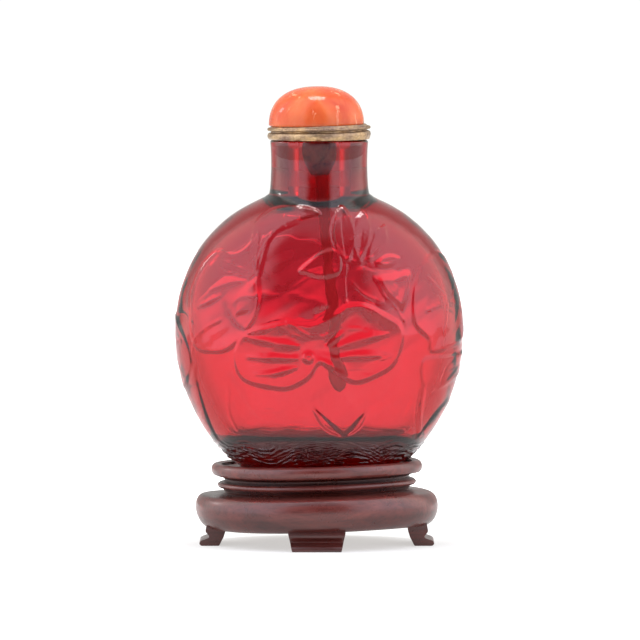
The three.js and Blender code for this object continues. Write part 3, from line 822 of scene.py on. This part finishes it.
def spoon():
    """A flat shaft let into the cork, with a shallow bowl at its end."""
    half, thick, length = SPOON["width"] / 2, SPOON["thick"] / 2, SPOON["length"]
    bowl_half, bowl_length = SPOON["bowl_width"] / 2, SPOON["bowl_length"]
    rings = [(0.15, 0.1, -length)]
    steps = 16
    for i in range(1, steps + 1):
        along = i / steps * (bowl_length + 3)
        across = min(along / bowl_length, 1) * 2 - 1
        oval = bowl_half * math.sqrt(1 - across ** 2)
        shaft = half * 0.8 * smoothstep(bowl_length * 0.4, bowl_length * 0.9, along)
        wide = max(oval, shaft, 0.3)
        rings.append((wide, thick * min(1, 0.3 + along / 2), -length + along))
    rings.append((half, thick, -SPOON["tang"] - 0.1))
    piece = draw_up("bone_spoon", rings, 24)
    points = points_of(piece)
    x, y, z = points.T
    centre = -length + bowl_length / 2
    dish = np.maximum(0, 1 - (x / (bowl_half - 0.3)) ** 2 - ((z - centre) / (bowl_length / 2 - 0.5)) ** 2)
    points[:, 1] += np.where(y < 0, 0.35 * np.sqrt(dish), 0)
    top = np.array([0.1, 0, -CORK["length"] + SPOON["tang"]])
    place_points(piece, lean(points, SPOON["lean"]) + top)
    return seat_stopper(piece, 50)


# ------------------------------------------------------------------ stand

RIM_HALF = (17.95, 14.1)
SEAT_INSET = 1.75
RIM_TOP_Z = 14.1
UNDERSIDE_Z = 3.1
SLANT = 0.03  # the mouldings were carved a little higher at the right
TORUS_HALF_X = 20.6
STAND_SIDES = 168


def half_round(start, end, bulge, steps):
    """Points of a round moulding from start to end, which stands out by bulge."""
    start, end = np.array(start), np.array(end)
    points = []
    for i in range(steps + 1):
        angle = math.pi * i / steps
        middle = start + (end - start) * (1 - math.cos(angle)) / 2
        points.append((middle[0] + bulge * math.sin(angle), middle[1]))
    return points


def moulding():
    """From the underside up to the rim: (how far it stands out from the rim's oval, height)."""
    torus = half_round((0.3, UNDERSIDE_Z), (1.1, 8.8), 1.91, 22)
    ledge = [(0.3, 8.92), (-1.3, 9.02), (-2.0, 9.12), (-2.25, 9.4)]
    bead = half_round((-2.0, 9.85), (-2.0, 11.0), 0.95, 10)
    groove = [(-2.3, 11.15), (-2.2, 11.5), (-1.7, 11.85), (-0.8, 12.0)]
    rim = [(-0.35, 12.15), (-0.12, 12.5), (0, 12.95), (-0.04, 13.35), (-0.18, 13.7), (-0.45, 13.97),
           (-0.8, RIM_TOP_Z), (-1.1, RIM_TOP_Z), (-1.35, 14.04), (-SEAT_INSET, 13.9)]
    return torus + ledge + bead + groove + rim


def slant(x):
    """How far the mouldings are out of level at x."""
    return SLANT * x * (1 - (x / TORUS_HALF_X) ** 4)


def turned_block():
    """The oval block with its mouldings, and the seat that the bottle stands in."""
    wide, deep = RIM_HALF
    rings = [(wide + out, deep + out, z) for out, z in moulding()]
    rings.append((wide - SEAT_INSET, deep - SEAT_INSET, FOOT_Z - 0.02))
    piece = draw_up("block", rings, STAND_SIDES)
    points = points_of(piece)
    seat = np.abs(points[:, 2] - FOOT_Z + 0.02) < 1e-3
    points[:, 2] += np.where(seat, 0, slant(points[:, 0]))
    place_points(piece, points)
    return piece


FOOT_WIDTH = (8.3, 9.7)  # at the floor and where it meets the block
# (height, outer face, inner face), measured outwards from the rim's oval. A foot curls out to a toe.
FOOT_SHAPE = [
    (0.0, 1.5, -1.3), (0.06, 1.7, -1.38), (0.2, 1.87, -1.5), (0.4, 1.95, -1.6), (0.62, 1.92, -1.7),
    (0.82, 1.76, -1.8), (0.98, 1.46, -1.88), (1.1, 1.1, -1.94), (1.22, 0.74, -2.0), (1.36, 0.45, -2.08),
    (1.52, 0.3, -2.16), (1.72, 0.32, -2.22), (1.95, 0.5, -2.3), (2.2, 0.72, -2.38), (2.45, 0.88, -2.46),
    (2.75, 0.9, -2.53), (3.05, 0.82, -2.58), (3.5, 0.75, -2.6), (4.3, 0.7, -2.6),
]


def foot(turn):
    """One foot, drawn up from the floor as a stack of rounded rectangles, for the side that turn names."""
    deselect_all()
    low, outer, inner = FOOT_SHAPE[0]
    bpy.ops.mesh.primitive_plane_add(size=MM, location=(0, 0, 0))
    piece = bpy.context.object
    piece.name = "foot"
    piece.scale = (FOOT_WIDTH[0], outer - inner, 1)
    apply_place(piece)
    edit_all()
    width, depth, middle = FOOT_WIDTH[0], outer - inner, (outer + inner) / 2
    start = middle
    for high, outer, inner in FOOT_SHAPE[1:]:
        share = min(high / UNDERSIDE_Z, 1)
        next_width = FOOT_WIDTH[0] + (FOOT_WIDTH[1] - FOOT_WIDTH[0]) * share
        next_depth, next_middle = outer - inner, (outer + inner) / 2
        shift = (0, (middle - next_middle) * MM, (high - low) * MM)
        bpy.ops.mesh.extrude_region_move(TRANSFORM_OT_translate={"value": shift})
        centre = (0, (start - next_middle) * MM, high * MM)
        bpy.ops.transform.resize(value=(next_width / width, next_depth / depth, 1), center_override=centre)
        low, width, depth, middle = high, next_width, next_depth, next_middle
    bpy.ops.object.mode_set(mode="OBJECT")
    outward(piece)
    apply_modifier(piece, "BEVEL", width=0.28 * MM, segments=3, limit_method="ANGLE",
                   angle_limit=math.radians(75))
    on_side = turn % 180 == 90
    reach = RIM_HALF[0] if on_side else RIM_HALF[1]
    piece.location = (0, -(reach + start) * MM, 0)
    apply_place(piece)
    piece.rotation_euler = (0, 0, math.radians(turn))
    apply_place(piece)
    return piece


def stand():
    """The block with a foot at the front, the back and either side, all one piece of wood."""
    piece = turned_block()
    for turn in (0, 90, 180, 270):
        extra = foot(turn)
        apply_modifier(piece, "BOOLEAN", object=extra, operation="UNION", solver="EXACT")
        bpy.data.objects.remove(extra)
    piece.name = "hardwood_stand"
    smooth(piece, 38)
    return piece


# ------------------------------------------------------------------ finishes

def fill(tree, node, inputs):
    """Gives a node's inputs their values, or links them to other nodes' outputs."""
    for key, value in inputs.items():
        if isinstance(value, bpy.types.NodeSocket):
            tree.links.new(value, node.inputs[key])
        else:
            node.inputs[key].default_value = value


def put(tree, kind, inputs=None, **settings):
    node = tree.nodes.new("ShaderNode" + kind)
    for key, value in settings.items():
        setattr(node, key, value)
    fill(tree, node, inputs or {})
    return node


def calculate(tree, operation, *values):
    return put(tree, "Math", dict(enumerate(values)), operation=operation).outputs[0]


def parts_of(tree, vector):
    return put(tree, "SeparateXYZ", {"Vector": vector}).outputs


def ramp(tree, factor, stops):
    """A colour ramp; a stop is (place, red, green, blue)."""
    node = put(tree, "ValToRGB", {"Fac": factor})
    elements = node.color_ramp.elements
    while len(elements) < len(stops):
        elements.new(0.5)
    for element, (place, *colour) in zip(elements, stops):
        element.position = place
        element.color = (*colour, 1)
    return node.outputs["Color"]


def between(tree, value, low, high, to_low, to_high, **settings):
    """Carries a value that runs from low to high over to the run from to_low to to_high."""
    limits = {"Value": value, "From Min": low, "From Max": high, "To Min": to_low, "To Max": to_high}
    return put(tree, "MapRange", limits, **settings).outputs["Result"]


def mix_colours(tree, share, first, second, blend_type="MIX"):
    """Mixes two colours, each of them (red, green, blue) or another node's output."""
    inputs = {0: share}
    for key, colour in ((6, first), (7, second)):
        inputs[key] = (*colour, 1) if isinstance(colour, tuple) else colour
    return put(tree, "Mix", inputs, data_type="RGBA", blend_type=blend_type).outputs[2]


def new_group(name, inputs, outputs):
    group = bpy.data.node_groups.new(name, "ShaderNodeTree")
    for socket, kind, value in inputs:
        made = group.interface.new_socket(name=socket, in_out="INPUT", socket_type="NodeSocket" + kind)
        made.default_value = value
    for socket, kind in outputs:
        group.interface.new_socket(name=socket, in_out="OUTPUT", socket_type="NodeSocket" + kind)
    return group, group.nodes.new("NodeGroupInput").outputs, group.nodes.new("NodeGroupOutput").inputs


def handling_group():
    """Years of handling: broad rubbed patches with fine scratches in them, as a mask and as a height."""
    group, given, result = new_group(
        "handling", [("Patch Size", "Float", 6.0), ("Scratches", "Float", 0.3)],
        [("Rubbed", "Float"), ("Height", "Float")])
    place = put(group, "TexCoord").outputs["Object"]
    scale = calculate(group, "DIVIDE", 1000.0, given["Patch Size"])
    patches = put(group, "TexNoise", {"Vector": place, "Scale": scale, "Detail": 3.0, "Roughness": 0.6})
    broad = between(group, patches.outputs["Fac"], 0.35, 0.65, 0.0, 1.0)
    drawn = put(group, "Mapping", {"Vector": place, "Rotation": (0.4, 0.9, 0.3), "Scale": (900, 90, 900)})
    scratch = put(group, "TexNoise", {"Vector": drawn.outputs["Vector"], "Scale": 1.0, "Detail": 2.0})
    fine = between(group, scratch.outputs["Fac"], 0.55, 0.75, 0.0, 1.0)
    some = calculate(group, "MULTIPLY", fine, given["Scratches"])
    both = put(group, "Math", {0: broad, 1: some}, operation="ADD", use_clamp=True).outputs[0]
    group.links.new(both, result["Rubbed"])
    group.links.new(calculate(group, "SUBTRACT", 0.5, some), result["Height"])
    return group


def grain_group():
    """Figure drawn out along one way, as broad bands and fine lines: grain, fibres, clouds or tarnish."""
    group, given, result = new_group(
        "grain",
        [("Stretch", "Vector", (1.0, 1.0, 1.0)), ("Width", "Float", 2.0), ("Fineness", "Float", 6.0)],
        [("Bands", "Float"), ("Lines", "Float")])
    place = put(group, "TexCoord").outputs["Object"]
    scale = calculate(group, "DIVIDE", 1000.0, given["Width"])
    drawn = put(group, "VectorMath", {0: place, 1: given["Stretch"]}, operation="MULTIPLY").outputs[0]
    bands = put(group, "TexNoise", {"Vector": drawn, "Scale": scale, "Detail": 4.0, "Roughness": 0.55,
                                    "Distortion": 0.4})
    finer = calculate(group, "MULTIPLY", scale, given["Fineness"])
    lines = put(group, "TexNoise", {"Vector": drawn, "Scale": finer, "Detail": 2.0, "Roughness": 0.7})
    group.links.new(between(group, bands.outputs["Fac"], 0.3, 0.7, 0.0, 1.0), result["Bands"])
    group.links.new(between(group, lines.outputs["Fac"], 0.35, 0.65, 0.0, 1.0), result["Lines"])
    return group


HANDLING = handling_group()
GRAIN = grain_group()


def use_group(tree, group, inputs):
    return put(tree, "Group", inputs, node_tree=group).outputs


def handling(tree, patch_size, scratches):
    return use_group(tree, HANDLING, {"Patch Size": patch_size, "Scratches": scratches})


def grain(tree, stretch, width, fineness):
    return use_group(tree, GRAIN, {"Stretch": stretch, "Width": width, "Fineness": fineness})


def new_material(name):
    material = bpy.data.materials.new(name)
    material.use_nodes = True
    tree = material.node_tree
    return material, tree, tree.nodes["Principled BSDF"]


def bump(tree, bsdf, height, strength, distance):
    node = put(tree, "Bump", {"Height": height, "Strength": strength, "Distance": distance * MM})
    tree.links.new(node.outputs["Normal"], bsdf.inputs["Normal"])


def ripple_group():
    """Finer lines over the modelled ripples, as a height that fades out above the water."""
    group, given, result = new_group(
        "ripples", [("Spacing", "Float", 0.6), ("Top", "Float", 17.5)], [("Height", "Float")])
    place = put(group, "TexCoord").outputs["Object"]
    high = calculate(group, "MULTIPLY", parts_of(group, place)["Z"], 1000.0)
    flat = put(group, "VectorMath", {0: place, 1: (1.0, 1.0, 0.5)}, operation="MULTIPLY").outputs[0]
    curl = put(group, "TexNoise", {"Vector": flat, "Scale": 160.0, "Detail": 1.0}).outputs["Fac"]
    bent = between(group, curl, 0.3, 0.7, -1.3, 1.3)
    moved = calculate(group, "ADD", high, bent)
    turns = calculate(group, "DIVIDE", moved, given["Spacing"])
    angle = calculate(group, "MULTIPLY", turns, 2 * math.pi)
    wave = calculate(group, "SINE", angle)
    below = calculate(group, "SUBTRACT", given["Top"], high)
    inner = between(group, below, 0.0, 1.2, 0.0, 1.0)
    depth = calculate(group, "MULTIPLY", wave, inner)
    group.links.new(depth, result["Height"])
    return group


RIPPLES = ripple_group()


def ruby_glass():
    """Clear red glass: its colour is in its depth, and its skin is polished but for faint smears."""
    material, tree, bsdf = new_material("ruby_glass")
    smears = handling(tree, 9.0, 0.15)
    streaks = grain(tree, (1.0, 1.0, 0.35), 8.0, 3.0)
    tint = ramp(tree, streaks["Bands"], [(0, 1.0, 0.9, 0.9), (1, 1.0, 0.98, 0.98)])
    rough = between(tree, smears["Rubbed"], 0, 1, 0.0, 0.035)
    fill(tree, bsdf, {"Base Color": tint, "Roughness": rough, "Transmission Weight": 1.0, "IOR": 1.5})
    bump(tree, bsdf, use_group(tree, RIPPLES, {"Spacing": 0.62, "Top": 17.8})["Height"], 0.6, 0.12)
    depth = put(tree, "VolumeAbsorption", {"Color": (0.86, 0.05, 0.2, 1), "Density": 800.0})
    tree.links.new(depth.outputs["Volume"], tree.nodes["Material Output"].inputs["Volume"])
    return material


def carnelian():
    """Glowing orange stone, cloudy, with paler feathers in it and a high polish."""
    material, tree, bsdf = new_material("carnelian")
    cloud = grain(tree, (1.0, 1.0, 0.7), 5.0, 2.5)
    feather = grain(tree, (1.6, 1.6, 0.22), 2.2, 3.0)
    oranges = [(0, 0.56, 0.07, 0.024), (0.55, 0.66, 0.12, 0.036), (1, 0.72, 0.18, 0.06)]
    body = ramp(tree, cloud["Bands"], oranges)
    pale = between(tree, feather["Bands"], 0.78, 1.0, 0.0, 0.75)
    worn = handling(tree, 4.0, 0.3)
    fill(tree, bsdf, {
        "Base Color": mix_colours(tree, pale, body, (0.84, 0.42, 0.24)),
        "Roughness": between(tree, worn["Rubbed"], 0, 1, 0.05, 0.12),
        "Specular IOR Level": 0.22,
        "Subsurface Weight": 0.6,
        "Subsurface Radius": (1.0, 0.35, 0.15),
        "Subsurface Scale": 2.5 * MM,
        "IOR": 1.54,
    })
    return material


def gilt_metal():
    """Thin gilding, rubbed back to brown with age."""
    material, tree, bsdf = new_material("gilt_metal")
    worn = handling(tree, 4.0, 0.6)
    tarnish = grain(tree, (1.0, 1.0, 1.6), 2.4, 5.0)
    gold = ramp(tree, tarnish["Lines"], [(0, 0.42, 0.26, 0.13), (1, 0.62, 0.43, 0.22)])
    brown = ramp(tree, tarnish["Lines"], [(0, 0.12, 0.07, 0.05), (1, 0.3, 0.2, 0.15)])
    fill(tree, bsdf, {
        "Base Color": mix_colours(tree, tarnish["Bands"], gold, brown),
        "Metallic": between(tree, tarnish["Bands"], 0, 1, 0.95, 0.55),
        "Roughness": between(tree, worn["Rubbed"], 0, 1, 0.5, 0.3),
    })
    bump(tree, bsdf, worn["Height"], 0.25, 0.05)
    return material


# Painted shade by height, as how much of the wood's colour shows: the feet, the underside of the torus and
# the recesses beside the bead are painted darker, where shade falls.
PAINTED_SHADE_STOPS = [
    (0, 0.6), (5.2, 0.6), (5.9, 1), (8.8, 1), (9.1, 0.35), (9.8, 0.35), (9.95, 1), (10.9, 1), (11.05, 0.3),
    (11.8, 0.3), (12.1, 1),
]
PAINTED_SHADE_TOP = 16


def painted_recess_shade(tree):
    """Painted shade in the recesses, under the torus and on the feet, which follows the slant of the
    mouldings.
    """
    place = parts_of(tree, put(tree, "TexCoord").outputs["Object"])
    height = calculate(tree, "MULTIPLY_ADD", place["X"], -SLANT, place["Z"])
    share = between(tree, height, 0.0, PAINTED_SHADE_TOP * MM, 0.0, 1.0)
    stops = [(z / PAINTED_SHADE_TOP, shade, shade ** 1.3, shade ** 1.5) for z, shade in PAINTED_SHADE_STOPS]
    return ramp(tree, share, stops)


def hardwood():
    """Dark red-brown wood with fine straight grain, waxed and rubbed to a shine."""
    material, tree, bsdf = new_material("hardwood")
    figure = grain(tree, (0.12, 1.0, 1.0), 2.6, 5.0)
    worn = handling(tree, 7.0, 0.35)
    browns = [(0, 0.08, 0.015, 0.012), (0.5, 0.13, 0.025, 0.02), (1, 0.19, 0.04, 0.03)]
    bands = ramp(tree, figure["Bands"], browns)
    lines = ramp(tree, figure["Lines"], [(0, 0.55, 0.5, 0.5), (0.6, 1.0, 1.0, 1.0)])
    grained = mix_colours(tree, 0.6, bands, lines, "MULTIPLY")
    fill(tree, bsdf, {
        # painted shade: the base colour is darkened in the recesses, under the torus and on the feet
        "Base Color": mix_colours(tree, 1.0, grained, painted_recess_shade(tree), "MULTIPLY"),
        "Roughness": between(tree, worn["Rubbed"], 0, 1, 0.42, 0.26),
        "Coat Weight": 0.25,
        "Coat Roughness": 0.16,
    })
    bump(tree, bsdf, figure["Lines"], 0.12, 0.06)
    return material


def cork_bark():
    """Brown bark with dark pits."""
    material, tree, bsdf = new_material("cork")
    bark = grain(tree, (1.0, 1.0, 1.0), 1.6, 3.0)
    browns = [(0, 0.05, 0.022, 0.012), (0.45, 0.24, 0.12, 0.06), (1, 0.36, 0.2, 0.1)]
    rough = between(tree, bark["Lines"], 0, 1, 0.7, 0.95)
    fill(tree, bsdf, {"Base Color": ramp(tree, bark["Bands"], browns), "Roughness": rough})
    bump(tree, bsdf, bark["Lines"], 0.5, 0.1)
    return material


def old_bone():
    """Yellowed bone, thin enough to let some light through."""
    material, tree, bsdf = new_material("old_bone")
    fibre = grain(tree, (1.0, 1.0, 0.08), 0.7, 2.0)
    worn = handling(tree, 5.0, 0.4)
    fill(tree, bsdf, {
        "Base Color": ramp(tree, fibre["Bands"], [(0, 0.7, 0.6, 0.46), (1, 0.86, 0.78, 0.64)]),
        "Roughness": between(tree, worn["Rubbed"], 0, 1, 0.5, 0.34),
        "Transmission Weight": 0.65,
        "IOR": 1.3,
    })
    bump(tree, bsdf, fibre["Lines"], 0.2, 0.04)
    return material


# ------------------------------------------------------------------ studio

FLOOR_R = 0.9


def floor_glow(tree):
    """A painted glow in the paper, though no lamp lies under it: brightest behind the object and near the
    middle, it lightens the shadow under the stand. Behind the object the camera sees the paper as plain
    white. Distances are in metres."""
    place = parts_of(tree, put(tree, "TexCoord").outputs["Object"])
    nearer = between(tree, place["Y"], 0.02, 0.2, 0.56, 0.9)
    glow = between(tree, place["Y"], 0.3, 0.6, nearer, 0.05)
    behind = between(tree, place["Y"], 0.04, 0.12, 0.0, 1.0)
    aside = between(tree, calculate(tree, "ABSOLUTE", place["X"]), 0.04, 0.16, 0.0, -0.4)
    lost = calculate(tree, "MULTIPLY", aside, behind)
    kept = calculate(tree, "MULTIPLY_ADD", glow, lost, glow)
    white = calculate(tree, "MULTIPLY", put(tree, "LightPath").outputs["Is Camera Ray"], behind)
    return calculate(tree, "ADD", kept, white)


def pale_floor():
    """A sheet of white paper, lit from above, with a painted glow in it that stands in for light from below.
    """
    deselect_all()
    bpy.ops.mesh.primitive_circle_add(vertices=96, radius=FLOOR_R, fill_type="NGON", location=(0, 0, 0))
    floor = bpy.context.object
    floor.name = "floor"
    material, tree, bsdf = new_material("white_paper")
    paper = handling(tree, 60.0, 0.0)
    fill(tree, bsdf, {
        "Base Color": ramp(tree, paper["Rubbed"], [(0, 0.43, 0.43, 0.42), (1, 0.45, 0.45, 0.445)]),
        "Roughness": 0.9,
        "Specular IOR Level": 0.1,
        "Emission Color": (1, 0.985, 0.96, 1),
        # painted glow: the paper's emission lightens the shadow under the stand and lights the stand from
        # below
        "Emission Strength": floor_glow(tree),
    })
    floor.data.materials.append(material)


BEHIND_LIGHT = 0.65
SIDE_LIGHT = 2.1
FRONT_LIGHT = 0.1
LOW_FRONT_LIGHT = 0.9
HIGH_LIGHT = 0.8
SEEN_LIGHT = 1.06  # what the camera itself sees
COOL = (0.97, 1.0, 1.13)
WARM = (1.0, 1.0, 0.97)


def studio_room():
    """White paper all round, brightest and cooler at the sides, with a dim patch on the side that the object
    faces. turn is how far round from that side a direction is, in radians."""
    world = bpy.data.worlds.new("studio")
    scene.world = world
    world.use_nodes = True
    tree = world.node_tree
    tree.nodes.clear()
    parts = parts_of(tree, put(tree, "TexCoord").outputs["Generated"])
    front = calculate(tree, "MULTIPLY", parts["Y"], -1.0)
    side = calculate(tree, "ABSOLUTE", parts["X"])
    turn = calculate(tree, "ARCTAN2", side, front)
    soft = {"interpolation_type": "SMOOTHSTEP"}
    rear = between(tree, turn, 1.95, 2.4, SIDE_LIGHT, BEHIND_LIGHT, **soft)
    low = between(tree, parts["Z"], -0.04, 0.06, LOW_FRONT_LIGHT, FRONT_LIGHT, **soft)
    high = between(tree, parts["Z"], 0.6, 0.9, low, HIGH_LIGHT, **soft)
    all_round = between(tree, turn, 0.36, 0.66, high, rear, **soft)
    seen = put(tree, "LightPath").outputs["Is Camera Ray"]
    strength = put(tree, "Mix", {0: seen, 2: all_round, 3: SEEN_LIGHT}).outputs[0]
    tint = mix_colours(tree, between(tree, turn, 1.3, 2.0, 0.0, 1.0), COOL, WARM)
    light = put(tree, "Background", {"Color": tint, "Strength": strength})
    out = put(tree, "OutputWorld")
    tree.links.new(light.outputs[0], out.inputs["Surface"])


LIT_POINT = (0, 0, 0.05)


def softbox(name, place, size, radiance):
    """A rectangular soft light of a given brightness, turned to the middle of the object."""
    data = bpy.data.lights.new(name, "AREA")
    data.shape = "RECTANGLE"
    data.size, data.size_y = size
    data.energy = radiance * math.pi * size[0] * size[1]
    light = bpy.data.objects.new(name, data)
    scene.collection.objects.link(light)
    light.location = place
    light.rotation_euler = (Vector(LIT_POINT) - Vector(place)).to_track_quat("-Z", "Y").to_euler()
    light.visible_camera = False


LENS = 431.8
EYE_SHIFT = 0.14 * MM  # the camera stands a little right of the middle
EYE_Y = -1.3
EYE_Z = 0.122
AIM_Z = 0.0381


def camera(middle):
    """A long lens, which looks a little down."""
    data = bpy.data.cameras.new("camera")
    data.lens = LENS
    data.sensor_width = 36
    data.clip_end = 100
    eye = bpy.data.objects.new("camera", data)
    scene.collection.objects.link(eye)
    eye.location = (middle.x + EYE_SHIFT, EYE_Y, EYE_Z)
    target = Vector((eye.location.x, 0, AIM_Z))
    eye.rotation_euler = (target - eye.location).to_track_quat("-Z", "Y").to_euler()
    scene.camera = eye


# ------------------------------------------------------------------ the whole thing

PIECES = [
    (glass_body, ruby_glass, "bottle", "ruby_glass"),
    (stand, hardwood, "stand", "hardwood"),
    (dome, carnelian, "stopper_dome", "carnelian"),
    (collar, gilt_metal, "stopper_collar", "gilt_metal"),
    (cork, cork_bark, "stopper_cork", "cork"),
    (spoon, old_bone, "stopper_spoon", "bone"),
]
for shape, finish, node, slot in PIECES:
    made = shape()
    made.data.materials.clear()
    made.data.materials.append(finish())
    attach(made, "root")
    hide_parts(node)

pale_floor()
studio_room()
softbox("overhead", (0, 0.12, 1.0), (0.36, 0.26), 14.0)
softbox("left", (-0.95, 0.35, 0.55), (0.2, 0.2), 6.0)
low, high = cad_bounds
camera((low + high) / 2)
scene.view_settings.view_transform = "Standard"
